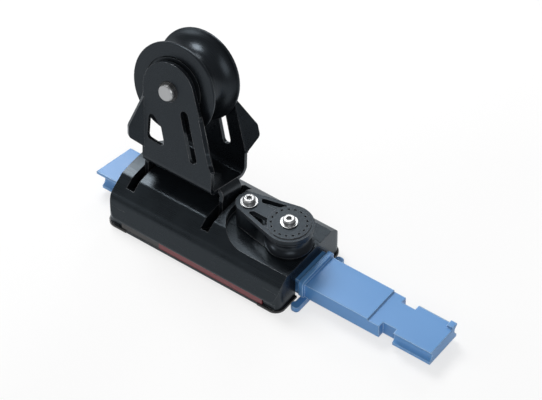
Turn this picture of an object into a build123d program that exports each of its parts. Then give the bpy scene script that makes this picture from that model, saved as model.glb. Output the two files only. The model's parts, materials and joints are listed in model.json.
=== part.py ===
import math
import os

from build123d import *

# Lead car for a sailing boat's track: a domed extruded car on recirculating balls, a tall sheave cage
# that pivots on it, a small cheek block for the control line, and the plastic loader that fills the car.
# X runs along the track, Y across it and Z up. The origin is the middle of the car, level with its feet.
# All lengths are in millimetres and all angles in degrees.

os.makedirs("parts", exist_ok=True)

# Car extrusion
car_length = 124.0
car_width = 63.5
crown_height = 30.1
crown_width = 32.0
crown_drop = 1.3
crown_corner_radius = 5.0
shoulder_width = 55.8
shoulder_height = 20.65
shoulder_radius = 10.0
lip_height = 7.6
plan_corner_radius = 5.5
channel_width = 27.8
channel_height = 15.4

# Label strips in their grooves
strip_groove_bottom = 1.7
strip_groove_height = 4.6
strip_groove_depth = 1.0
strip_thickness = 0.8
strip_clearance = 0.1
strip_end_inset = 11.0

# Ball circuits and the plastic caps that turn the balls round
ball_diameter = 7.94
ball_clearance = 0.18
ball_pitch = 8.02
ball_height = 9.2
run_offset = 15.6
return_offset = 25.2
cap_end_wall = 1.3
body_end_wall = 2.0
body_side_wall = 2.1
cap_roof = 1.0
cap_flange_thickness = 1.6
cap_flange_overhang = 1.2
cap_flange_side = 0.4
cap_flange_lap = 2.0
cap_corner_radius = 6.5

# Pivot of the cage
hub_length = 48.7
hub_left_inset = 13.0
slot_width = 5.5
slot_half_reach = 21.5
slot_top_height = 25.0
slot_bottom_height = 15.0
pivot_height = 21.0
pin_diameter = 6.35
pin_bore_clearance = 0.05
bush_clearance = 0.05
pin_end_recess = 0.5
pin_blind_depth = 8.0
pin_chamfer = 0.5
pin_screw_diameter = 4.0
pin_screw_recess = 0.4
pin_screw_socket = 2.0
pin_screw_socket_depth = 1.2

# Sheave cage, a bent sheet, upright in its own frame on the pivot axis
cage_lean = 16.0
sheet = 2.5
cage_width = 36.0
cage_bottom_length = 48.8
cage_floor_height = 17.5
cage_bend_radius = 5.5
axle_offset = -15.0
axle_height = 70.5
plate_top_radius = 18.0
plate_knee_x = 22.0
plate_knee_height = 35.0
plate_foot_height = 23.5
ear_width = 18.0
ear_bend_radius = 5.5
ear_lug_radius = 5.5
ear_shoulder_height = 12.0
bush_wall = 1.0
bush_flange_thickness = 1.3
bush_flange_radius = 5.2

# Wings on the edges of the side plates
wing_flare = 53.0
wing_reach = 10.0
wing_tip_low = 8.0
wing_tip_high = 15.0
wing_tip_radius = 3.5
left_wing_bottom = 27.5
left_wing_top = 61.0
right_wing_bottom = 33.0
right_wing_top = 64.0

# Openings of the side plates, seen from the axle
window_corners = [(-11.0, -16.0), (-0.8, -24.6), (4.3, -36.6), (-9.0, -35.4)]
window_corner_radius = 2.4
slot_opening_top = (13.1, -10.0)
slot_opening_bottom = (24.0, -34.6)
slot_opening_width = 5.4

# Main sheave and its axle
sheave_diameter = 57.0
sheave_width = 26.0
rim_width = 1.6
rim_edge_radius = 0.5
groove_depth = 9.0
side_recess_radius = 19.8
side_recess_depth = 1.5
cover_radius = 19.2
cover_lift = 0.3
cover_boss_radius = 9.0
axle_diameter = 10.0
axle_overhang = 3.3
axle_edge = 0.6
axle_recess_radius = 6.4
axle_recess_depth = 0.8
clip_groove_depth = 0.7
clip_thickness = 0.9
clip_radius = 6.0
clip_gap = 6.5
axle_ring_inset = 1.1
axle_ring_width = 0.5
axle_ring_depth = 0.4
race_wall = 3.5
roller_diameter = 4.0
roller_count = 16
roller_clearance = 0.06
roller_end_gap = 0.3
cover_gap = 0.3

# Pocket and control block
pocket_width = 44.0
pocket_floor_height = 24.5
pocket_end_inset = 32.5
block_axle_inset = 14.7
block_head_spacing = 28.3
cheek_radius = 14.7
cheek_head_radius = 8.0
cheek_thickness = 3.4
cheek_disc_radius = 12.8
cheek_disc_lift = 0.6
cheek_web_width = 8.4
cheek_rim_width = 2.3
cheek_hub_ring = 12.2
cheek_head_ring = 7.4
cheek_window_radius = 1.0
cheek_window_end = 7.5
cheek_edge_radius = 0.6
cheek_hole_count = 17
cheek_hole_ring = 10.5
cheek_hole_length = 1.5
cheek_hole_width = 0.9
block_sheave_diameter = 28.8
block_sheave_width = 11.4
block_sheave_gap = 0.35
block_groove_depth = 4.0
block_rim_width = 0.9
block_race_radius = 5.9
block_ball_diameter = 3.18
block_ball_ring = 7.0
block_ball_count = 12
block_ball_clearance = 0.05
block_bore_radius = 8.0
block_base_thickness = 0.7
spacer_radius = 7.6
screw_diameter = 5.0
screw_flange_radius = 5.2
screw_flange_thickness = 0.8
screw_head_radius = 3.7
screw_head_height = 2.9
screw_head_rounding = 1.1
screw_socket = 3.0
screw_socket_depth = 1.8
screw_tip_height = 16.4
screw_hole_clearance = 0.4

# Loader rail that carries the car until it is on its track
loader_width = 27.0
loader_left = -83.8
loader_right = 155.0
loader_bottom = 3.5
loader_top = 14.9
loader_ball_gap = 0.35
loader_end_skew = 4.8
loader_flange_thickness = 2.4
loader_nose_setback = 4.0
pad_top = 13.9
pad_end = 112.0
tail_top = 12.7
side_fill_end = 120.0
notch_length = 9.3
notch_depth = 4.2
stop_left = 65.2
stop_thickness = 3.0
stop_width = 31.0
stop_height = 16.6
stop_lobe_radius = 2.6
bar_length = 48.0
bar_width = 4.4
bar_setback = 1.0
bar_height = 3.6
bar_bottom = 0.4
bar_knob_radius = 2.5
lug_length = 4.0
lug_width = 4.5
lug_height = 1.6

# How closely two places agree, and how far a cut runs past what it cuts
tolerance = 0.01
overrun = 1.0

# Places that follow from the sizes above
car_end = car_length / 2
car_half = car_width / 2
channel_half = channel_width / 2
hub_left = -car_end + hub_left_inset
hub_right = hub_left + hub_length
hub_centre = (hub_left + hub_right) / 2
ball_radius = ball_diameter / 2
tunnel_radius = ball_radius + ball_clearance
turn_radius = (return_offset - run_offset) / 2
turn_offset = (return_offset + run_offset) / 2
turn_x = car_end - body_end_wall - cap_end_wall - tunnel_radius - turn_radius
cap_top = ball_height + tunnel_radius + cap_roof
pin_radius = pin_diameter / 2
block_axle_x = car_end - block_axle_inset
block_head_x = block_axle_x - block_head_spacing
cheek_bottom = pocket_floor_height + block_base_thickness + block_sheave_width + 2 * block_sheave_gap
cheek_top = cheek_bottom + cheek_thickness
block_middle = (pocket_floor_height + block_base_thickness + cheek_bottom) / 2

# Frame of the cage: its origin on the pivot axis under the hub's middle, its Z along the plates
lean = math.radians(cage_lean)
cage_up = Vector(0, math.sin(lean), math.cos(lean))
cage_across = Vector(0, math.cos(lean), -math.sin(lean))
cage_origin = Vector(hub_centre, 0, pivot_height)
cage_section = Plane(origin=cage_origin, x_dir=cage_across, z_dir=(1, 0, 0))
cage_side = Plane(origin=cage_origin, x_dir=(1, 0, 0), z_dir=-cage_across)
axle_centre = cage_origin + Vector(axle_offset, 0, 0) + cage_up * axle_height
axle_axis = Axis(axle_centre, cage_across)
axle_profile = Plane(origin=axle_centre, x_dir=(1, 0, 0), z_dir=cage_up)
axle_side = Plane(origin=axle_centre, x_dir=(1, 0, 0), z_dir=-cage_across)
plate_inner = cage_width / 2 - sheet
plate_middle = (cage_width - sheet) / 2
axle_radius = axle_diameter / 2
flare = math.radians(wing_flare)
slot_opening_middle = (
    (slot_opening_top[0] + slot_opening_bottom[0]) / 2,
    (slot_opening_top[1] + slot_opening_bottom[1]) / 2,
)
slot_opening_half = (
    slot_opening_top[0] - slot_opening_middle[0],
    slot_opening_top[1] - slot_opening_middle[1],
)
slot_middles = (hub_left - slot_width / 2, hub_right + slot_width / 2)


def save(piece, name):
    """Label a finished piece and write its STEP file."""
    piece.label = name
    export_step(piece, f"parts/{name}.step")


def vertices_at(corners, axis, place):
    """The corners that lie at one place along an axis."""
    return corners.filter_by_position(axis, place - tolerance, place + tolerance)


def tangent_point(outside, turn):
    """The point of the plate's round top that a line from outside touches, on one side or the other."""
    across, rise = outside[0] - axle_offset, outside[1] - axle_height
    angle = math.atan2(rise, across) + turn * math.acos(plate_top_radius / math.hypot(across, rise))
    return (
        axle_offset + plate_top_radius * math.cos(angle),
        axle_height + plate_top_radius * math.sin(angle),
    )


def plate_edge_point(edge_side, height):
    """The point of a side plate's straight left or right edge at one height in the cage's frame."""
    left_foot = (-cage_bottom_length / 2, plate_foot_height)
    right_foot = (plate_knee_x, plate_knee_height)
    foot = left_foot if edge_side < 0 else right_foot
    top = tangent_point(foot, edge_side)
    share = (height - foot[1]) / (top[1] - foot[1])
    return (foot[0] + share * (top[0] - foot[0]), height)


# Car body: the extrusion, its slots, pocket, ball tunnels and bores
slot_cut_radius = (slot_half_reach**2 + (slot_top_height - slot_bottom_height) ** 2) / (
    2 * (slot_top_height - slot_bottom_height)
)
cap_length = car_end - body_end_wall - turn_x
cap_outer = car_half - body_side_wall
cap_middle = (channel_half + cap_outer) / 2

with BuildPart() as car_body:
    with BuildSketch(Plane.YZ.offset(-car_end)) as car_section:
        with BuildLine():
            flank = Polyline(
                (channel_half, 0),
                (car_half, 0),
                (car_half, lip_height),
                (shoulder_width / 2, shoulder_height),
                (crown_width / 2, crown_height - crown_drop),
            )
            mirror(flank, about=Plane.YZ)
            ThreePointArc(
                (crown_width / 2, crown_height - crown_drop),
                (0, crown_height),
                (-crown_width / 2, crown_height - crown_drop),
            )
            Polyline(
                (channel_half, 0),
                (channel_half, channel_height),
                (-channel_half, channel_height),
                (-channel_half, 0),
            )
        make_face()
        corners = car_section.vertices()
        fillet(vertices_at(corners, Axis.Y, shoulder_height), shoulder_radius)
        corners = car_section.vertices()
        fillet(vertices_at(corners, Axis.Y, crown_height - crown_drop), crown_corner_radius)
    extrude(amount=car_length)
    with BuildSketch():
        RectangleRounded(car_length, car_width, plan_corner_radius)
    extrude(amount=crown_height + overrun, mode=Mode.INTERSECT)

    # Grooves for the label strips
    with Locations(*[(0, side * car_half, strip_groove_bottom) for side in (-1, 1)]):
        Box(
            car_length,
            2 * strip_groove_depth,
            strip_groove_height,
            align=(Align.CENTER, Align.CENTER, Align.MIN),
            mode=Mode.SUBTRACT,
        )

    # Slots for the ears, cut as if by a disc
    for middle in slot_middles:
        with BuildSketch(Plane.YZ.offset(middle - slot_width / 2)):
            with Locations((0, slot_bottom_height + slot_cut_radius)):
                Circle(slot_cut_radius)
        extrude(amount=slot_width, mode=Mode.SUBTRACT)

    # Pocket for the control block, open at the right end
    with BuildSketch(Plane.XY.offset(pocket_floor_height)):
        with Locations((car_end - pocket_end_inset, 0)):
            Circle(pocket_width / 2)
            Rectangle(2 * pocket_end_inset, pocket_width, align=(Align.MIN, Align.CENTER))
    extrude(amount=crown_height, mode=Mode.SUBTRACT)

    # Ball tunnels and the recesses for the end caps
    for side in (-1, 1):
        with BuildSketch(Plane.YZ.offset(-turn_x)):
            with Locations((side * run_offset, ball_height), (side * return_offset, ball_height)):
                Circle(tunnel_radius)
        extrude(amount=2 * turn_x, mode=Mode.SUBTRACT)
        for end in (-1, 1):
            with BuildSketch():
                with Locations((end * (turn_x + cap_length / 2), side * cap_middle)):
                    Rectangle(cap_length, cap_outer - channel_half)
            extrude(amount=cap_top, mode=Mode.SUBTRACT)
            with BuildSketch():
                with Locations((end * (turn_x - cap_flange_lap), side * channel_half)):
                    Rectangle(
                        car_end,
                        car_half,
                        align=(Align.MIN if end > 0 else Align.MAX, Align.MIN if side > 0 else Align.MAX),
                    )
            extrude(amount=cap_flange_thickness, mode=Mode.SUBTRACT)

    # Bore for the pivot pin, blind under the pocket, and the hole of the screw that holds the pin
    with BuildSketch(Plane.YZ.offset(-car_end)):
        with Locations((0, pivot_height)):
            Circle(pin_radius + pin_bore_clearance)
    extrude(amount=slot_middles[1] + slot_width / 2 + pin_blind_depth + car_end, mode=Mode.SUBTRACT)
    with BuildSketch(Plane.XY.offset(channel_height)):
        with Locations((hub_centre, 0)):
            Circle(pin_screw_diameter / 2)
    extrude(amount=pivot_height - channel_height, mode=Mode.SUBTRACT)

    # Screw holes of the control block
    with BuildSketch(Plane.XY.offset(screw_tip_height - screw_hole_clearance)):
        with Locations((block_axle_x, 0), (block_head_x, 0)):
            Circle(screw_diameter / 2)
    extrude(amount=crown_height, mode=Mode.SUBTRACT)
save(car_body.part, "car_body")

# End caps, which turn the balls from the run into the return tunnel
for side, side_name in ((-1, "front"), (1, "back")):
    for end, end_name in ((-1, "left"), (1, "right")):
        turn_centre = Vector(end * turn_x, side * turn_offset, ball_height)
        with BuildPart() as end_cap:
            with BuildSketch():
                with Locations((end * (turn_x + cap_length / 2), side * cap_middle)):
                    Rectangle(cap_length, cap_outer - channel_half)
            extrude(amount=cap_top)
            with BuildSketch():
                flange_end = car_end + cap_flange_overhang
                flange_start = turn_x - cap_flange_lap
                flange_outer = car_half + cap_flange_side
                flange_x = end * (flange_start + flange_end) / 2
                flange_middle = (flange_x, side * (channel_half + flange_outer) / 2)
                with Locations(flange_middle):
                    Rectangle(flange_end - flange_start, flange_outer - channel_half)
                outer_corner = (end * flange_end, side * flange_outer, 0)
            extrude(amount=cap_flange_thickness)
            fillet(
                end_cap.edges().filter_by(Axis.Z).sort_by_distance(outer_corner)[0],
                cap_corner_radius,
            )
            with BuildSketch(Plane(origin=turn_centre, x_dir=(1, 0, 0), z_dir=(0, -1, 0))):
                with Locations((turn_radius, 0)):
                    Circle(tunnel_radius)
            revolve(axis=Axis(turn_centre, (0, 0, 1)), mode=Mode.SUBTRACT)
        save(end_cap.part, f"end_cap_{side_name}_{end_name}")

# Bearing balls of each circuit: two straight runs and one ball in the middle of each turn
turn_step = math.sqrt(ball_pitch**2 - turn_radius**2) - turn_radius
run_half = turn_x - turn_step
run_gaps = int(2 * run_half / ball_pitch)
run_step = 2 * run_half / run_gaps
for side, side_name in ((-1, "front"), (1, "back")):
    ball_places = [(end * (turn_x + turn_radius), side * turn_offset, ball_height) for end in (-1, 1)]
    for row in (run_offset, return_offset):
        ball_places += [(-run_half + run_step * n, side * row, ball_height) for n in range(run_gaps + 1)]
    with BuildPart() as bearing_balls:
        with Locations(*ball_places):
            Sphere(ball_radius)
    save(bearing_balls.part, f"bearing_balls_{side_name}")

# Label strips, slid into the grooves of the skirts
strip_length = car_length - 2 * strip_end_inset
for side, side_name in ((-1, "front"), (1, "back")):
    strip_middle = side * (car_half - strip_groove_depth + strip_thickness / 2)
    with BuildPart() as label_strip:
        with Locations((0, strip_middle, strip_groove_bottom + strip_groove_height / 2)):
            Box(strip_length, strip_thickness, strip_groove_height - 2 * strip_clearance)
    save(label_strip.part, f"label_strip_{side_name}")

# Pivot pin, and the grub screw that holds it from inside the channel
pin_start = -car_end + pin_end_recess
pin_length = slot_middles[1] + slot_width / 2 + pin_blind_depth - pin_end_recess - pin_start
with BuildPart() as pivot_pin:
    with BuildSketch(Plane.YZ.offset(pin_start)):
        with Locations((0, pivot_height)):
            Circle(pin_radius)
    extrude(amount=pin_length)
    chamfer(pivot_pin.edges().filter_by(GeomType.CIRCLE), pin_chamfer)
save(pivot_pin.part, "pivot_pin")

screw_start = channel_height + pin_screw_recess
with BuildPart() as pivot_pin_screw:
    with BuildSketch(Plane.XY.offset(screw_start)):
        with Locations((hub_centre, 0)):
            Circle(pin_screw_diameter / 2)
    extrude(amount=pivot_height - pin_radius - screw_start)
    with BuildSketch(Plane.XY.offset(screw_start)):
        with Locations((hub_centre, 0)):
            RegularPolygon(pin_screw_socket / 2, 6, major_radius=False)
    extrude(amount=pin_screw_socket_depth, mode=Mode.SUBTRACT)
save(pivot_pin_screw.part, "pivot_pin_screw")

# Bushes of the ears, one pressed in from each face of each ear
bush_sleeve = pin_radius + bush_clearance
bush_outer = bush_sleeve + bush_wall
for middle, slot_name in zip(slot_middles, ("left", "right")):
    with BuildPart() as pivot_bushes:
        for face in (-1, 1):
            with BuildSketch(Plane.YZ.offset(middle)):
                with Locations((0, pivot_height)):
                    Circle(bush_outer)
                    Circle(bush_sleeve, mode=Mode.SUBTRACT)
            extrude(amount=face * sheet / 2)
            with BuildSketch(Plane.YZ.offset(middle + face * sheet / 2)):
                with Locations((0, pivot_height)):
                    Circle(bush_flange_radius)
                    Circle(bush_sleeve, mode=Mode.SUBTRACT)
            extrude(amount=face * bush_flange_thickness)
    save(pivot_bushes.part, f"pivot_bushes_{slot_name}")

# Ears of the cage: the floor's sheet bent down at each end, tapered to a lug round the pin
ear_inner_half = slot_middles[1] - hub_centre - sheet / 2
ear_outer_half = ear_inner_half + sheet
floor_top = cage_floor_height + sheet
with BuildPart() as ears:
    with BuildSketch(cage_side.offset(-ear_width / 2)):
        with BuildLine():
            FilletPolyline(
                (-ear_outer_half, -2 * ear_lug_radius),
                (-ear_outer_half, floor_top),
                (ear_outer_half, floor_top),
                (ear_outer_half, -2 * ear_lug_radius),
                radius=ear_bend_radius,
            )
            Line((ear_outer_half, -2 * ear_lug_radius), (-ear_outer_half, -2 * ear_lug_radius))
        make_face()
        with BuildLine(mode=Mode.PRIVATE) as under:
            FilletPolyline(
                (-ear_inner_half, -3 * ear_lug_radius),
                (-ear_inner_half, cage_floor_height),
                (ear_inner_half, cage_floor_height),
                (ear_inner_half, -3 * ear_lug_radius),
                radius=ear_bend_radius - sheet,
            )
            Line((ear_inner_half, -3 * ear_lug_radius), (-ear_inner_half, -3 * ear_lug_radius))
        add(make_face(under.edges(), mode=Mode.PRIVATE), mode=Mode.SUBTRACT)
    extrude(amount=ear_width)
    with BuildSketch(cage_section.offset(-ear_outer_half - overrun)):
        Circle(ear_lug_radius)
        with Locations((0, (ear_shoulder_height + floor_top) / 2)):
            Rectangle(ear_width, floor_top - ear_shoulder_height)
        make_hull()
    extrude(amount=2 * ear_outer_half + 2 * overrun, mode=Mode.INTERSECT)

# Sheave cage: floor and side plates folded from one sheet, with the ears, wings and openings
cage_reach = 3 * cage_bottom_length
plate_top = axle_height + 2 * plate_top_radius
with BuildPart() as sheave_cage:
    with BuildSketch(cage_section.offset(-cage_reach / 2)):
        with BuildLine():
            FilletPolyline(
                (-cage_width / 2, plate_top),
                (-cage_width / 2, cage_floor_height),
                (cage_width / 2, cage_floor_height),
                (cage_width / 2, plate_top),
                radius=cage_bend_radius,
            )
            Line((cage_width / 2, plate_top), (-cage_width / 2, plate_top))
        make_face()
        with BuildLine(mode=Mode.PRIVATE) as inside:
            FilletPolyline(
                (-plate_inner, plate_top + overrun),
                (-plate_inner, floor_top),
                (plate_inner, floor_top),
                (plate_inner, plate_top + overrun),
                radius=cage_bend_radius - sheet,
            )
            Line((plate_inner, plate_top + overrun), (-plate_inner, plate_top + overrun))
        add(make_face(inside.edges(), mode=Mode.PRIVATE), mode=Mode.SUBTRACT)
    extrude(amount=cage_reach)

    # Outline of the side plates, seen from the front
    with BuildSketch(cage_side.offset(-cage_width)):
        with Locations((axle_offset, axle_height)):
            Circle(plate_top_radius)
        with Locations((0, (cage_floor_height + plate_foot_height) / 2)):
            Rectangle(cage_bottom_length, plate_foot_height - cage_floor_height)
        with Locations((plate_knee_x, plate_knee_height)):
            Circle(0.5)
        make_hull()
    extrude(amount=2 * cage_width, mode=Mode.INTERSECT)
    add(ears.part)

    # Window and slanted slot through both plates
    with BuildSketch(axle_side.offset(-cage_width)) as plate_openings:
        with BuildLine():
            Polyline(*window_corners, close=True)
        make_face()
        fillet(plate_openings.vertices(), window_corner_radius)
        with Locations(slot_opening_middle):
            SlotCenterPoint((0, 0), slot_opening_half, slot_opening_width)
    extrude(amount=2 * cage_width, mode=Mode.SUBTRACT)

    # Wings of the front plate, then their mirror images on the back plate
    left_wing = (-1, left_wing_bottom, left_wing_top)
    right_wing = (1, right_wing_bottom, right_wing_top)
    for edge_side, bottom, top in (left_wing, right_wing):
        low, high = plate_edge_point(edge_side, bottom), plate_edge_point(edge_side, top)
        rise = math.hypot(high[0] - low[0], high[1] - low[1])
        along = ((high[0] - low[0]) / rise, (high[1] - low[1]) / rise)
        hinge = Vector(along[0], 0, 0) + cage_up * along[1]
        away = Vector(edge_side * along[1], 0, 0) - cage_up * (edge_side * along[0])
        for plate_side in (-1, 1):
            outboard = cage_across * plate_side
            reach = away * math.cos(flare) + outboard * math.sin(flare)
            wing_origin = cage_origin + Vector(low[0], 0, 0) + cage_up * low[1] + outboard * plate_middle
            wing_plane = Plane(origin=wing_origin, x_dir=hinge, z_dir=hinge.cross(reach))
            with BuildSketch(wing_plane) as wing:
                with BuildLine():
                    Polyline(
                        (0, 0),
                        (wing_tip_low, wing_reach),
                        (wing_tip_high, wing_reach),
                        (rise, 0),
                        close=True,
                    )
                make_face()
                fillet(vertices_at(wing.vertices(), Axis.Y, wing_reach), wing_tip_radius)
            extrude(amount=sheet / 2, both=True)
            with BuildSketch(Plane(origin=wing_origin, x_dir=reach, z_dir=hinge)):
                Circle(sheet / 2)
            extrude(amount=rise)

    # Holes of the axle and the bushes
    with BuildSketch(axle_side.offset(-cage_width)):
        Circle(axle_radius)
    extrude(amount=2 * cage_width, mode=Mode.SUBTRACT)
    for plate_side in (-1, 1):
        with BuildSketch(axle_side.offset(plate_side * (cage_width / 2 - axle_recess_depth))):
            Circle(axle_recess_radius)
        extrude(amount=plate_side * cage_width, mode=Mode.SUBTRACT)
    with BuildSketch(cage_section.offset(-cage_bottom_length)):
        Circle(bush_outer)
    extrude(amount=2 * cage_bottom_length, mode=Mode.SUBTRACT)
save(sheave_cage.part, "sheave_cage")

# Axle of the main sheave, with a ring groove near each end
axle_half = cage_width / 2 + axle_overhang
clip_face = cage_width / 2 - axle_recess_depth
with BuildPart() as sheave_axle:
    with BuildSketch(axle_profile):
        with Locations((axle_radius / 2, 0)):
            Rectangle(axle_radius, 2 * axle_half)
        for end in (-1, 1):
            with Locations((axle_radius, end * (clip_face + clip_thickness / 2))):
                Rectangle(2 * clip_groove_depth, clip_thickness, mode=Mode.SUBTRACT)
            with Locations((axle_radius, end * (axle_half - axle_ring_inset))):
                Rectangle(2 * axle_ring_depth, axle_ring_width, mode=Mode.SUBTRACT)
    revolve(axis=axle_axis)
    chamfer(sheave_axle.faces().sort_by(axle_axis)[0].edges(), axle_edge)
    chamfer(sheave_axle.faces().sort_by(axle_axis)[-1].edges(), axle_edge)
save(sheave_axle.part, "sheave_axle")

# Open rings that hold the axle, one in the recess of each plate
for side, side_name in ((-1, "back"), (1, "front")):
    with BuildPart() as axle_clip:
        with BuildSketch(axle_side.offset(side * clip_face)):
            Circle(clip_radius)
            Circle(axle_radius - clip_groove_depth, mode=Mode.SUBTRACT)
            with Locations((0, -clip_radius)):
                Rectangle(clip_gap, clip_radius * 1.2, mode=Mode.SUBTRACT)
        extrude(amount=side * clip_thickness)
    save(axle_clip.part, f"axle_clip_{side_name}")

# Main sheave: rims, rope groove, bore for the rollers and recessed sides
rim_half = sheave_width / 2
web_half = rim_half - side_recess_depth
race_radius = axle_radius + race_wall
roller_ring = race_radius + roller_clearance + roller_diameter / 2
sheave_bore = roller_ring + roller_diameter / 2 + roller_clearance
sheave_radius = sheave_diameter / 2
with BuildPart() as main_sheave:
    with BuildSketch(axle_profile) as sheave_section:
        with BuildLine():
            Polyline(
                (sheave_radius, -rim_half + rim_width),
                (sheave_radius, -rim_half),
                (side_recess_radius, -rim_half),
                (side_recess_radius, -web_half),
                (sheave_bore, -web_half),
                (sheave_bore, web_half),
                (side_recess_radius, web_half),
                (side_recess_radius, rim_half),
                (sheave_radius, rim_half),
                (sheave_radius, rim_half - rim_width),
            )
            ThreePointArc(
                (sheave_radius, rim_half - rim_width),
                (sheave_radius - groove_depth, 0),
                (sheave_radius, -rim_half + rim_width),
            )
        make_face()
        fillet(vertices_at(sheave_section.vertices(), Axis.X, sheave_radius), rim_edge_radius)
    revolve(axis=axle_axis)
save(main_sheave.part, "main_sheave")

# Inner race on the axle, and the rollers between it and the sheave
cover_inner = web_half + cover_gap
with BuildPart() as sheave_race:
    with BuildSketch(axle_side.offset(-cover_inner)):
        Circle(race_radius)
        Circle(axle_radius, mode=Mode.SUBTRACT)
    extrude(amount=2 * cover_inner)
save(sheave_race.part, "sheave_race")

roller_half = cover_inner - roller_end_gap
with BuildPart() as sheave_rollers:
    with BuildSketch(axle_side.offset(-roller_half)):
        with PolarLocations(roller_ring, roller_count):
            Circle(roller_diameter / 2)
    extrude(amount=2 * roller_half)
save(sheave_rollers.part, "sheave_rollers")

# Covers of the bearing, each with a boss that seats on its plate
for side, side_name in ((-1, "back"), (1, "front")):
    with BuildPart() as bearing_cover:
        with BuildSketch(axle_side.offset(side * cover_inner)):
            Circle(cover_radius)
            Circle(axle_radius, mode=Mode.SUBTRACT)
        extrude(amount=side * (rim_half + cover_lift - cover_inner))
        with BuildSketch(axle_side.offset(side * cover_inner)):
            Circle(cover_boss_radius)
            Circle(axle_radius, mode=Mode.SUBTRACT)
        extrude(amount=side * (plate_inner - cover_inner))
    save(bearing_cover.part, f"bearing_cover_{side_name}")

# Control block: lower plate, post under the head, cheek with its windows and ring of holes
base_top = pocket_floor_height + block_base_thickness
screw_radius = screw_diameter / 2
with BuildPart() as control_base:
    with BuildSketch(Plane.XY.offset(pocket_floor_height)):
        with Locations((block_axle_x, 0)):
            Circle(cheek_disc_radius)
        with Locations((block_head_x, 0)):
            Circle(spacer_radius)
        make_hull()
        with Locations((block_axle_x, 0), (block_head_x, 0)):
            Circle(screw_radius, mode=Mode.SUBTRACT)
    extrude(amount=block_base_thickness)
save(control_base.part, "control_base")

with BuildPart() as control_post:
    with BuildSketch(Plane.XY.offset(base_top)):
        with Locations((block_head_x, 0)):
            Circle(spacer_radius)
            Circle(screw_radius, mode=Mode.SUBTRACT)
    extrude(amount=cheek_bottom - base_top)
save(control_post.part, "control_post")

with BuildPart() as control_cheek:
    with BuildSketch(Plane.XY.offset(cheek_bottom)) as cheek_outline:
        with Locations((block_axle_x, 0)):
            Circle(cheek_radius)
        with Locations((block_head_x, 0)):
            Circle(cheek_head_radius)
        make_hull()
    extrude(amount=cheek_thickness)
    with BuildSketch(Plane.XY.offset(cheek_top)):
        with Locations((block_axle_x, 0)):
            Circle(cheek_disc_radius)
    extrude(amount=cheek_disc_lift)
    fillet(control_cheek.edges().group_by(Axis.Z)[0], cheek_edge_radius)
    with BuildSketch(Plane.XY.offset(cheek_bottom)):
        with Locations((block_axle_x, 0)):
            Circle(cheek_radius - cheek_rim_width)
        with Locations((block_head_x, 0)):
            Circle(cheek_head_radius - cheek_rim_width)
        make_hull()
        with Locations((block_axle_x, 0)):
            Circle(cheek_hub_ring, mode=Mode.SUBTRACT)
            Rectangle(2 * cheek_radius, cheek_web_width, mode=Mode.SUBTRACT)
        with Locations((block_axle_x - cheek_window_end, 0)):
            Rectangle(
                2 * cheek_radius,
                2 * cheek_radius,
                align=(Align.MIN, Align.CENTER),
                mode=Mode.SUBTRACT,
            )
        with Locations((block_head_x, 0)):
            Circle(cheek_head_ring, mode=Mode.SUBTRACT)
            Rectangle(2 * block_head_spacing, cheek_web_width, mode=Mode.SUBTRACT)
        offset(amount=-cheek_window_radius)
        offset(amount=cheek_window_radius)
    extrude(amount=cheek_thickness, mode=Mode.SUBTRACT)
    with BuildSketch(Plane.XY.offset(cheek_bottom)):
        with Locations((block_axle_x, 0)):
            with PolarLocations(cheek_hole_ring, cheek_hole_count):
                Rectangle(cheek_hole_width, cheek_hole_length)
        with Locations((block_axle_x, 0), (block_head_x, 0)):
            Circle(screw_radius)
    extrude(amount=cheek_thickness + cheek_disc_lift, mode=Mode.SUBTRACT)
save(control_cheek.part, "control_cheek")

# Control sheave with its race and a ring of balls
block_axis = Axis((block_axle_x, 0, 0), (0, 0, 1))
block_profile = Plane(origin=(block_axle_x, 0, block_middle), x_dir=(1, 0, 0), z_dir=(0, -1, 0))
block_half = block_sheave_width / 2
block_radius = block_sheave_diameter / 2
block_ball_radius = block_ball_diameter / 2
with BuildPart() as control_sheave:
    with BuildSketch(block_profile) as block_section:
        with BuildLine():
            Polyline(
                (block_radius, -block_half + block_rim_width),
                (block_radius, -block_half),
                (block_bore_radius, -block_half),
                (block_bore_radius, block_half),
                (block_radius, block_half),
                (block_radius, block_half - block_rim_width),
            )
            ThreePointArc(
                (block_radius, block_half - block_rim_width),
                (block_radius - block_groove_depth, 0),
                (block_radius, -block_half + block_rim_width),
            )
        make_face()
        with Locations((block_ball_ring, 0)):
            Circle(block_ball_radius + block_ball_clearance, mode=Mode.SUBTRACT)
    revolve(axis=block_axis)
save(control_sheave.part, "control_sheave")

race_half = (cheek_bottom - base_top) / 2
with BuildPart() as control_race:
    with BuildSketch(block_profile):
        with Locations(((screw_radius + block_race_radius) / 2, 0)):
            Rectangle(block_race_radius - screw_radius, 2 * race_half)
        with Locations((block_ball_ring, 0)):
            Circle(block_ball_radius + block_ball_clearance, mode=Mode.SUBTRACT)
    revolve(axis=block_axis)
save(control_race.part, "control_race")

with BuildPart() as control_balls:
    with Locations((block_axle_x, 0, block_middle)):
        with PolarLocations(block_ball_ring, block_ball_count):
            Sphere(block_ball_radius)
save(control_balls.part, "control_balls")

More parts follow.
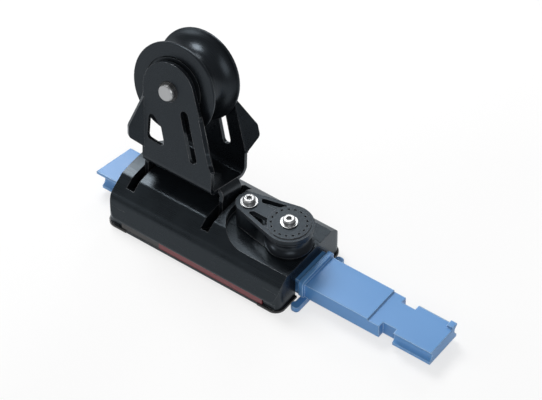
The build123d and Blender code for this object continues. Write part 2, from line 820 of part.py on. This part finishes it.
# Button-head screws with flanges and hexagon sockets
for centre_x, seat, screw_name in (
    (block_axle_x, cheek_top + cheek_disc_lift, "control_axle_screw"),
    (block_head_x, cheek_top, "control_head_screw"),
):
    head_top = seat + screw_flange_thickness + screw_head_height
    with BuildPart() as flange_screw:
        with BuildSketch(Plane.XY.offset(screw_tip_height)):
            with Locations((centre_x, 0)):
                Circle(screw_radius)
        extrude(amount=seat - screw_tip_height)
        with BuildSketch(Plane.XY.offset(seat)):
            with Locations((centre_x, 0)):
                Circle(screw_flange_radius)
        extrude(amount=screw_flange_thickness)
        with BuildSketch(Plane.XY.offset(seat)):
            with Locations((centre_x, 0)):
                Circle(screw_head_radius)
        extrude(amount=screw_flange_thickness + screw_head_height)
        fillet(flange_screw.edges().group_by(Axis.Z)[-1], screw_head_rounding)
        with BuildSketch(Plane.XY.offset(head_top - screw_socket_depth)):
            with Locations((centre_x, 0)):
                RegularPolygon(screw_socket / 2, 6, major_radius=False)
        extrude(amount=screw_socket_depth, mode=Mode.SUBTRACT)
    save(flange_screw.part, screw_name)

# Loader: a moulded rail with ball grooves, a stop flange with a cross bar, and a waisted tail
loader_half = loader_width / 2
groove_radius = ball_radius + loader_ball_gap
loader_length = loader_right - loader_left
with BuildPart() as loader:
    with BuildSketch(Plane.YZ.offset(loader_left)):
        with Locations((0, (loader_bottom + loader_top) / 2)):
            Rectangle(loader_width, loader_top - loader_bottom)
    extrude(amount=loader_length)
    for side in (-1, 1):
        with BuildSketch(Plane.YZ.offset(loader_left)):
            with Locations((side * run_offset, ball_height)):
                Circle(groove_radius)
        extrude(amount=stop_left - loader_left, mode=Mode.SUBTRACT)
        with BuildSketch(Plane.YZ.offset(side_fill_end)):
            with Locations((side * run_offset, ball_height)):
                Circle(groove_radius)
        extrude(amount=loader_right - side_fill_end, mode=Mode.SUBTRACT)
        with BuildSketch(Plane.XY.offset(loader_bottom)):
            with Locations((side_fill_end + notch_length / 2, side * loader_half)):
                Rectangle(notch_length, 2 * notch_depth)
        extrude(amount=loader_top, mode=Mode.SUBTRACT)

    # Lower top beside the raised pad, and the lug at the back corner of the tail
    for start, height in ((stop_left, pad_top), (pad_end, tail_top)):
        with BuildSketch(Plane.XY.offset(height)):
            with Locations(((start + loader_right) / 2, 0)):
                Rectangle(loader_right - start, loader_width)
        extrude(amount=loader_top, mode=Mode.SUBTRACT)
    with Locations((loader_right - lug_length / 2, loader_half - lug_width / 2, tail_top)):
        Box(lug_length, lug_width, lug_height, align=(Align.CENTER, Align.CENTER, Align.MIN))

    # Slanted nose, with the lower half set back under the top plate
    for setback, low, high in (
        (0, 0, loader_top + overrun),
        (loader_nose_setback, 0, loader_top - loader_flange_thickness),
    ):
        with BuildSketch(Plane.XY.offset(low)):
            with BuildLine():
                Polyline(
                    (loader_left - overrun, -loader_half - overrun),
                    (loader_left + setback, -loader_half - overrun),
                    (loader_left + setback + loader_end_skew, loader_half + overrun),
                    (loader_left - overrun, loader_half + overrun),
                    close=True,
                )
            make_face()
        extrude(amount=high - low, mode=Mode.SUBTRACT)

    # Stop flange and the cross bar under it
    with BuildSketch(Plane.YZ.offset(stop_left)):
        with Locations((0, (loader_bottom + stop_height) / 2)):
            RectangleRounded(stop_width, stop_height - loader_bottom, stop_lobe_radius)
    extrude(amount=stop_thickness)
    with BuildSketch(Plane.XY.offset(bar_bottom)):
        with Locations((stop_left + bar_setback + bar_width / 2, 0)):
            SlotOverall(bar_length, bar_width, rotation=90)
        with Locations((stop_left + bar_width / 2, -bar_length / 2 + bar_knob_radius)):
            Circle(bar_knob_radius)
        with Locations((stop_left + bar_width / 2, bar_length / 2 - bar_knob_radius)):
            Circle(bar_knob_radius)
    extrude(amount=bar_height)
save(loader.part, "loader")
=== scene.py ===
import json
import math

import bpy
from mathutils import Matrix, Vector


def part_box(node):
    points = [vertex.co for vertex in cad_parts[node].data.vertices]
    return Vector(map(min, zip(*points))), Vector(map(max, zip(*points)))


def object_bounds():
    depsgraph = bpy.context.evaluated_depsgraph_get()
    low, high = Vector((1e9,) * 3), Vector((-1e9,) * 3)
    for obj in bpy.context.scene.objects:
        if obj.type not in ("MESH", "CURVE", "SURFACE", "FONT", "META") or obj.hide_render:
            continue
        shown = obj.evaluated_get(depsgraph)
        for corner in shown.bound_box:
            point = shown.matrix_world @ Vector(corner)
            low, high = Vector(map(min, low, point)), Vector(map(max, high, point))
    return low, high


# Looks of the lead car: materials, light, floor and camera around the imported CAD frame.
# All places are in metres in the CAD frame: X along the track, Y across it, Z up.

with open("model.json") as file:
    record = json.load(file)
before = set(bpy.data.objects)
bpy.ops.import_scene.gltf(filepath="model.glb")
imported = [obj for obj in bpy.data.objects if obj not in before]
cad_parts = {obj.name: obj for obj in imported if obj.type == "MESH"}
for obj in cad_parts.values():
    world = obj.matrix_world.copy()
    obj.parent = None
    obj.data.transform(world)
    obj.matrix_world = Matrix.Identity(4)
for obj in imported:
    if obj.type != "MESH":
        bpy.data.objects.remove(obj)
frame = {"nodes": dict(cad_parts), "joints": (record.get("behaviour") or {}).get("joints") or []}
cad_low, cad_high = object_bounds()
nodes_by_name = frame["nodes"]
joints = {joint["name"]: joint for joint in frame["joints"]}


def joint_line(name):
    """Point and direction of a joint's axis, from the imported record."""
    joint = joints[name]
    return Vector(joint["pos_m"]), Vector(joint["axis"]).normalized()


# Helpers that build the node materials


class Paint:
    """A Principled material with short calls for the nodes that feed it."""

    def __init__(self, name, colour, roughness, metallic=0.0, specular=0.5):
        self.material = bpy.data.materials.new(name)
        self.material.use_nodes = True
        self.tree = self.material.node_tree
        self.shader = self.tree.nodes["Principled BSDF"]
        self.shader.inputs["Base Color"].default_value = (*colour, 1.0)
        self.shader.inputs["Roughness"].default_value = roughness
        self.shader.inputs["Metallic"].default_value = metallic
        self.shader.inputs["Specular IOR Level"].default_value = specular
        coordinates = self.tree.nodes.new("ShaderNodeTexCoord")
        self.place = coordinates.outputs["Object"]
        self.bevel_normal = None

    def node(self, kind, **settings):
        made = self.tree.nodes.new(kind)
        for key, value in settings.items():
            setattr(made, key, value)
        return made

    def link(self, source, target):
        self.tree.links.new(source, target)

    def noise(self, scale, detail=3.0, stretch=(1.0, 1.0, 1.0)):
        """Noise over the object's own coordinates, with features about 1/scale metres wide."""
        mapping = self.node("ShaderNodeMapping")
        mapping.inputs["Scale"].default_value = stretch
        self.link(self.place, mapping.inputs["Vector"])
        noise = self.node("ShaderNodeTexNoise")
        noise.inputs["Scale"].default_value = scale
        noise.inputs["Detail"].default_value = detail
        self.link(mapping.outputs["Vector"], noise.inputs["Vector"])
        return noise.outputs["Fac"]

    def distance_from_line(self, point, direction):
        """Distance in metres from a line, for marks that a lathe leaves."""
        away = self.node("ShaderNodeVectorMath", operation="SUBTRACT")
        away.inputs[1].default_value = point
        self.link(self.place, away.inputs[0])
        cross = self.node("ShaderNodeVectorMath", operation="CROSS_PRODUCT")
        cross.inputs[1].default_value = direction
        self.link(away.outputs["Vector"], cross.inputs[0])
        length = self.node("ShaderNodeVectorMath", operation="LENGTH")
        self.link(cross.outputs["Vector"], length.inputs[0])
        return length.outputs["Value"]

    def along_line(self, point, direction):
        """Distance in metres along a line from a point on it."""
        away = self.node("ShaderNodeVectorMath", operation="SUBTRACT")
        away.inputs[1].default_value = point
        self.link(self.place, away.inputs[0])
        dot = self.node("ShaderNodeVectorMath", operation="DOT_PRODUCT")
        dot.inputs[1].default_value = direction
        self.link(away.outputs["Vector"], dot.inputs[0])
        return dot.outputs["Value"]

    def rings(self, distance, per_metre):
        """One-dimensional noise over a distance: the fine turning marks of a lathe."""
        scaled = self.math("MULTIPLY", distance, per_metre)
        noise = self.node("ShaderNodeTexNoise", noise_dimensions="1D")
        noise.inputs["Scale"].default_value = 1.0
        noise.inputs["Detail"].default_value = 2.0
        self.link(scaled, noise.inputs["W"])
        return noise.outputs["Fac"]

    def math(self, operation, first, second):
        made = self.node("ShaderNodeMath", operation=operation)
        for socket, value in zip(made.inputs, (first, second)):
            if isinstance(value, (int, float)):
                socket.default_value = value
            else:
                self.link(value, socket)
        return made.outputs["Value"]

    def spread(self, value, low, high, new_low, new_high):
        """Maps a value from one range to another and clamps it."""
        made = self.node("ShaderNodeMapRange")
        made.inputs["From Min"].default_value = low
        made.inputs["From Max"].default_value = high
        made.inputs["To Min"].default_value = new_low
        made.inputs["To Max"].default_value = new_high
        self.link(value, made.inputs["Value"])
        return made.outputs["Result"]

    def sway(self, noise, amount):
        """A small change to either side of zero that follows a noise."""
        return self.math("MULTIPLY", self.spread(noise, 0.3, 0.7, -0.5, 0.5), amount)

    def mix(self, factor, first, second):
        """A colour between two: each is a colour or a socket."""
        made = self.node("ShaderNodeMix", data_type="RGBA")
        self.link(factor, made.inputs["Factor"])
        for socket, value in ((made.inputs[6], first), (made.inputs[7], second)):
            if isinstance(value, tuple):
                socket.default_value = (*value, 1.0)
            else:
                self.link(value, socket)
        return made.outputs[2]

    def colour(self, socket):
        self.link(socket, self.shader.inputs["Base Color"])

    def roughness(self, socket):
        self.link(socket, self.shader.inputs["Roughness"])

    def edges(self, radius):
        """1 on sharp outside and inside edges and 0 on open faces. Also rounds the shaded edges."""
        bevel = self.node("ShaderNodeBevel", samples=6)
        bevel.inputs["Radius"].default_value = radius
        geometry = self.node("ShaderNodeNewGeometry")
        dot = self.node("ShaderNodeVectorMath", operation="DOT_PRODUCT")
        self.link(bevel.outputs["Normal"], dot.inputs[0])
        self.link(geometry.outputs["Normal"], dot.inputs[1])
        self.bevel_normal = bevel.outputs["Normal"]
        return self.spread(dot.outputs["Value"], 0.99, 0.8, 0.0, 1.0)

    def bump(self, height, distance, strength=1.0):
        """Surface relief of a given depth in metres, over the rounded edges where there are any."""
        made = self.node("ShaderNodeBump")
        made.inputs["Strength"].default_value = strength
        made.inputs["Distance"].default_value = distance
        self.link(height, made.inputs["Height"])
        if self.bevel_normal:
            self.link(self.bevel_normal, made.inputs["Normal"])
        self.link(made.outputs["Normal"], self.shader.inputs["Normal"])


# Materials

# The reflections of the black parts are slightly blue
cold_sheen = (0.74, 0.88, 1.0, 1.0)
# Radius of the shaded edges, in metres
small_edge = 0.0004


def anodised(name, colour, edge_colour, roughness, grain):
    """Black anodised aluminium: satin, with a fine grain and paler edges, partly worn thin and partly
    a painted highlight.
    """
    paint = Paint(name, colour, roughness, metallic=0.25, specular=0.45)
    paint.shader.inputs["Specular Tint"].default_value = cold_sheen
    edge = paint.edges(small_edge)
    patches = paint.noise(90.0, 4.0)
    fine = paint.noise(*grain)
    # Edges get a paler colour in patches: partly wear and partly a painted highlight.
    wear_and_highlight = paint.math("MULTIPLY", edge, paint.spread(patches, 0.35, 0.7, 0.3, 0.9))
    dark = tuple(0.82 * part for part in colour)
    paint.colour(paint.mix(wear_and_highlight, paint.mix(patches, dark, colour), edge_colour))
    change = paint.math("ADD", paint.sway(fine, 0.1), paint.sway(patches, 0.08))
    paint.roughness(paint.math("ADD", change, roughness))
    paint.bump(fine, 0.00002, 0.35)
    return paint.material


def turned(name, colour, roughness, metallic, line, marks, edge_colour):
    """A surface off the lathe: fine rings round its axis, given as how many a metre and how deep."""
    point, direction = line
    per_metre, depth = marks
    paint = Paint(name, colour, roughness, metallic=metallic, specular=0.5)
    if metallic < 1.0:
        paint.shader.inputs["Specular Tint"].default_value = cold_sheen
    edge = paint.edges(0.0003)
    distance = paint.distance_from_line(point, direction)
    along = paint.along_line(point, direction)
    rings = paint.rings(paint.math("ADD", distance, along), per_metre)
    patches = paint.noise(120.0, 3.0)
    # Edges get a paler colour in patches: partly wear and partly a painted highlight.
    wear_and_highlight = paint.math("MULTIPLY", edge, paint.spread(patches, 0.35, 0.7, 0.2, 0.9))
    dark = tuple(0.8 * part for part in colour)
    paint.colour(paint.mix(wear_and_highlight, paint.mix(rings, dark, colour), edge_colour))
    paint.roughness(paint.math("ADD", paint.sway(rings, 0.09), roughness))
    paint.bump(rings, depth, 0.5)
    return paint.material


def moulded(name, colour, roughness, grain, subsurface=0.0, edge_colour=None, edge_radius=small_edge):
    """Moulded plastic: a fine spark-eroded grain, slight flow marks, and rounded edges with a painted
    highlight in a paler colour.
    """
    grain_scale, grain_depth = grain
    paint = Paint(name, colour, roughness)
    edge = paint.edges(edge_radius)
    flow = paint.noise(35.0, 2.0, (0.35, 1.0, 1.0))
    speckle = paint.noise(grain_scale, 2.0)
    dark = tuple(0.9 * part for part in colour)
    # The paler colour on the edges is a painted highlight.
    light = edge_colour or tuple(min(1.0, 1.25 * part + 0.01) for part in colour)
    paint.colour(paint.mix(paint.math("MULTIPLY", edge, 0.9), paint.mix(flow, dark, colour), light))
    paint.roughness(paint.math("ADD", paint.sway(flow, 0.12), roughness))
    paint.bump(speckle, grain_depth, 0.4)
    if subsurface:
        paint.shader.inputs["Subsurface Weight"].default_value = subsurface
        paint.shader.inputs["Subsurface Scale"].default_value = 0.001
    return paint.material


main_line = joint_line("main_sheave_spin")
control_line = joint_line("control_sheave_spin")
head_low, head_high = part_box("control_head_screw")
head_line = ((head_low + head_high) / 2, Vector((0.0, 0.0, 1.0)))
pivot_line = joint_line("cage_pivot")

car_black = (0.01, 0.013, 0.016)
cage_black = (0.009, 0.011, 0.014)
cheek_black = (0.013, 0.016, 0.02)
sheave_black = (0.01, 0.012, 0.015)
cover_black = (0.013, 0.016, 0.019)
small_sheave_black = (0.012, 0.014, 0.018)
clip_black = (0.06, 0.06, 0.06)
# Paler edge colours of the black anodised parts: partly wear and partly a painted highlight.
bare_and_highlit_edge = (0.3, 0.3, 0.31)
cage_worn_and_highlit_edge = (0.36, 0.36, 0.37)
steel = (0.46, 0.47, 0.48)
# Paler edge colour of the steel: partly wear and partly a painted highlight.
steel_worn_and_highlit_edge = (0.6, 0.6, 0.6)
loader_blue = (0.105, 0.295, 0.62)
# Pale blue on the loader's edges: a painted highlight.
loader_highlit_edge = (0.5, 0.72, 0.95)
drawn_grain = (1.0, 3.0, (60.0, 3500.0, 3500.0))
steel_marks = (5200.0, 0.000004)

car_metal = anodised("car_metal", car_black, bare_and_highlit_edge, 0.31, drawn_grain)
cage_metal = anodised("cage_metal", cage_black, cage_worn_and_highlit_edge, 0.29, (2600.0, 2.0))
cheek_metal = anodised("cheek_metal", cheek_black, bare_and_highlit_edge, 0.42, (4200.0, 2.0))
# The last colour of each turned finish colours its edges: partly wear and partly a painted highlight.
sheave_metal = turned(
    "sheave_metal", sheave_black, 0.3, 0.3, main_line, (4200.0, 0.00002), (0.1, 0.1, 0.1)
)
cover_metal = turned(
    "cover_metal", cover_black, 0.36, 0.3, main_line, (3600.0, 0.00002), (0.15, 0.15, 0.15)
)
small_sheave_metal = turned(
    "small_sheave_metal",
    small_sheave_black,
    0.32,
    0.3,
    control_line,
    (4200.0, 0.00002),
    (0.12, 0.12, 0.12),
)
axle_steel = turned("axle_steel", steel, 0.36, 1.0, main_line, steel_marks, steel_worn_and_highlit_edge)
axle_screw_steel = turned(
    "axle_screw_steel", steel, 0.36, 1.0, control_line, steel_marks, steel_worn_and_highlit_edge
)
head_screw_steel = turned("head_screw_steel", steel, 0.36, 1.0, head_line, steel_marks, steel_worn_and_highlit_edge)
pin_steel = turned("pin_steel", steel, 0.36, 1.0, pivot_line, (4200.0, 0.000004), steel_worn_and_highlit_edge)
clip_metal = turned("clip_metal", clip_black, 0.4, 0.8, main_line, (3000.0, 0.00002), (0.3, 0.3, 0.3))
cap_plastic = moulded("cap_plastic", (0.016, 0.016, 0.017), 0.46, (2600.0, 0.00003))
bush_plastic = moulded("bush_plastic", (0.03, 0.03, 0.03), 0.5, (2600.0, 0.00002))
ball_plastic = moulded("ball_plastic", (0.78, 0.77, 0.72), 0.32, (900.0, 0.00001), subsurface=0.2)
loader_plastic = moulded(
    "loader_plastic",
    loader_blue,
    0.33,
    (1900.0, 0.00003),
    edge_colour=loader_highlit_edge,
    edge_radius=0.001,
)
# Where the strip turns from black to red, in metres along the track
red_start = -0.0235


def label():
    """The strip in the car's groove: black at the left end and red over the rest, slightly dulled."""
    paint = Paint("label_film", (0.3, 0.02, 0.025), 0.3)
    split = paint.node("ShaderNodeSeparateXYZ")
    paint.link(paint.place, split.inputs["Vector"])
    red_side = paint.math("GREATER_THAN", split.outputs["X"], red_start)
    dull = paint.noise(220.0, 3.0, (0.3, 1.0, 1.0))
    red = paint.mix(dull, (0.13, 0.014, 0.02), (0.2, 0.03, 0.038))
    paint.colour(paint.mix(red_side, (0.012, 0.012, 0.013), red))
    paint.roughness(paint.spread(dull, 0.3, 0.7, 0.24, 0.4))
    paint.bump(dull, 0.00002, 0.3)
    return paint.material


finishes = {
    "car_body": car_metal,
    "bearing_balls_front": ball_plastic,
    "bearing_balls_back": ball_plastic,
    "pivot_pin": pin_steel,
    "pivot_pin_screw": pin_steel,
    "pivot_bushes_left": bush_plastic,
    "pivot_bushes_right": bush_plastic,
    "sheave_cage": cage_metal,
    "sheave_axle": axle_steel,
    "axle_clip_front": clip_metal,
    "axle_clip_back": clip_metal,
    "main_sheave": sheave_metal,
    "sheave_race": bush_plastic,
    "sheave_rollers": ball_plastic,
    "bearing_cover_front": cover_metal,
    "bearing_cover_back": cover_metal,
    "control_base": cheek_metal,
    "control_post": cheek_metal,
    "control_cheek": cheek_metal,
    "control_sheave": small_sheave_metal,
    "control_race": bush_plastic,
    "control_balls": ball_plastic,
    "control_axle_screw": axle_screw_steel,
    "control_head_screw": head_screw_steel,
    "loader": loader_plastic,
}
strip_film = label()
for side_name in ("front", "back"):
    finishes[f"label_strip_{side_name}"] = strip_film
    for end_name in ("left", "right"):
        finishes[f"end_cap_{side_name}_{end_name}"] = cap_plastic
for node_name, material in finishes.items():
    node_mesh = nodes_by_name[node_name].data
    node_mesh.materials.clear()
    node_mesh.materials.append(material)

# Floor and world

floor_height = cad_low.z
floor_mesh = bpy.data.meshes.new("floor")
floor_reach = 6.0
floor_mesh.from_pydata(
    [
        (-floor_reach, -floor_reach, floor_height),
        (floor_reach, -floor_reach, floor_height),
        (floor_reach, floor_reach, floor_height),
        (-floor_reach, floor_reach, floor_height),
    ],
    [],
    [(0, 1, 2, 3)],
)
floor = bpy.data.objects.new("floor", floor_mesh)
bpy.context.scene.collection.objects.link(floor)
floor_paint = Paint("floor_paper", (0.93, 0.93, 0.93), 0.9, specular=0.1)
floor_rays = floor_paint.node("ShaderNodeLightPath")
floor_seen = floor_rays.outputs["Is Camera Ray"]
for ray in ("Is Glossy Ray", "Is Transmission Ray"):
    floor_seen = floor_paint.math("MAXIMUM", floor_seen, floor_rays.outputs[ray])
floor_glow = floor_paint.node("ShaderNodeEmission")
floor_blend = floor_paint.node("ShaderNodeMixShader")
floor_end = floor_paint.tree.nodes["Material Output"]
floor_glow_share = 0.7
floor_paint.link(
    floor_paint.math("MULTIPLY", floor_seen, floor_glow_share), floor_blend.inputs["Fac"]
)
floor_paint.link(floor_paint.shader.outputs["BSDF"], floor_blend.inputs[1])
floor_paint.link(floor_glow.outputs["Emission"], floor_blend.inputs[2])
floor_paint.link(floor_blend.outputs["Shader"], floor_end.inputs["Surface"])
floor_mesh.materials.append(floor_paint.material)

world = bpy.data.worlds.new("studio")
bpy.context.scene.world = world
world.use_nodes = True
world_nodes = world.node_tree.nodes
world_links = world.node_tree.links
background = world_nodes["Background"]
background.inputs["Color"].default_value = (1.0, 1.0, 1.0, 1.0)
light_path = world_nodes.new("ShaderNodeLightPath")
seen = world_nodes.new("ShaderNodeMath")
seen.operation = "MAXIMUM"
world_links.new(light_path.outputs["Is Camera Ray"], seen.inputs[0])
world_links.new(light_path.outputs["Is Transmission Ray"], seen.inputs[1])
strength = world_nodes.new("ShaderNodeMapRange")
light_from_world = 0.24
seen_brightness = 1.0
strength.inputs["To Min"].default_value = light_from_world
strength.inputs["To Max"].default_value = seen_brightness
world_links.new(seen.outputs["Value"], strength.inputs["Value"])
world_links.new(strength.outputs["Result"], background.inputs["Strength"])


def area_lamp(name, place, aim, size, level):
    """A soft square lamp. A level of 1 lights a white surface that faces it to full white."""
    lamp = bpy.data.lights.new(name, "AREA")
    lamp.size = size
    offset = Vector(place) - Vector(aim)
    lamp.energy = level * math.pi**2 * offset.length_squared
    holder = bpy.data.objects.new(name, lamp)
    holder.location = place
    holder.rotation_mode = "QUATERNION"
    holder.rotation_quaternion = (-offset).to_track_quat("-Z", "Y")
    bpy.context.scene.collection.objects.link(holder)


middle = (0.01, 0.0, 0.04)
area_lamp("key_lamp", (-0.55, 0.35, 1.0), middle, 0.5, 0.8)
area_lamp("fill_lamp", (0.9, -0.9, 0.9), middle, 0.8, 0.2)
area_lamp("side_lamp", (-0.9, -0.8, 0.5), middle, 0.4, 0.15)
area_lamp("back_lamp", (-0.2, 0.9, 0.5), middle, 0.3, 0.16)

# Camera at the photograph's viewing angle


photo_width = 542.0
sensor_width = 36.0


def camera_at(azimuth, elevation, aim, pixel_scale, focal_pixels):
    """Aim in metres, scale in pixels a metre at the aim, focal length in pixels of the photograph."""
    turn = math.radians(azimuth)
    rise = math.radians(elevation)
    level = math.cos(rise)
    back = Vector((math.sin(turn) * level, -math.cos(turn) * level, math.sin(rise)))
    data = bpy.data.cameras.new("photo_camera")
    data.sensor_width = sensor_width
    data.lens = focal_pixels / photo_width * sensor_width
    data.clip_start = 0.05
    data.clip_end = 50.0
    holder = bpy.data.objects.new("photo_camera", data)
    holder.location = Vector(aim) + back * (focal_pixels / pixel_scale)
    holder.rotation_mode = "QUATERNION"
    holder.rotation_quaternion = (-back).to_track_quat("-Z", "Y")
    bpy.context.scene.collection.objects.link(holder)
    bpy.context.scene.camera = holder


camera_at(36.2, 46.4, (0.0165, 0.0246, 0.02), 1710.6, 3000.0)

bpy.context.scene.view_settings.view_transform = "Standard"
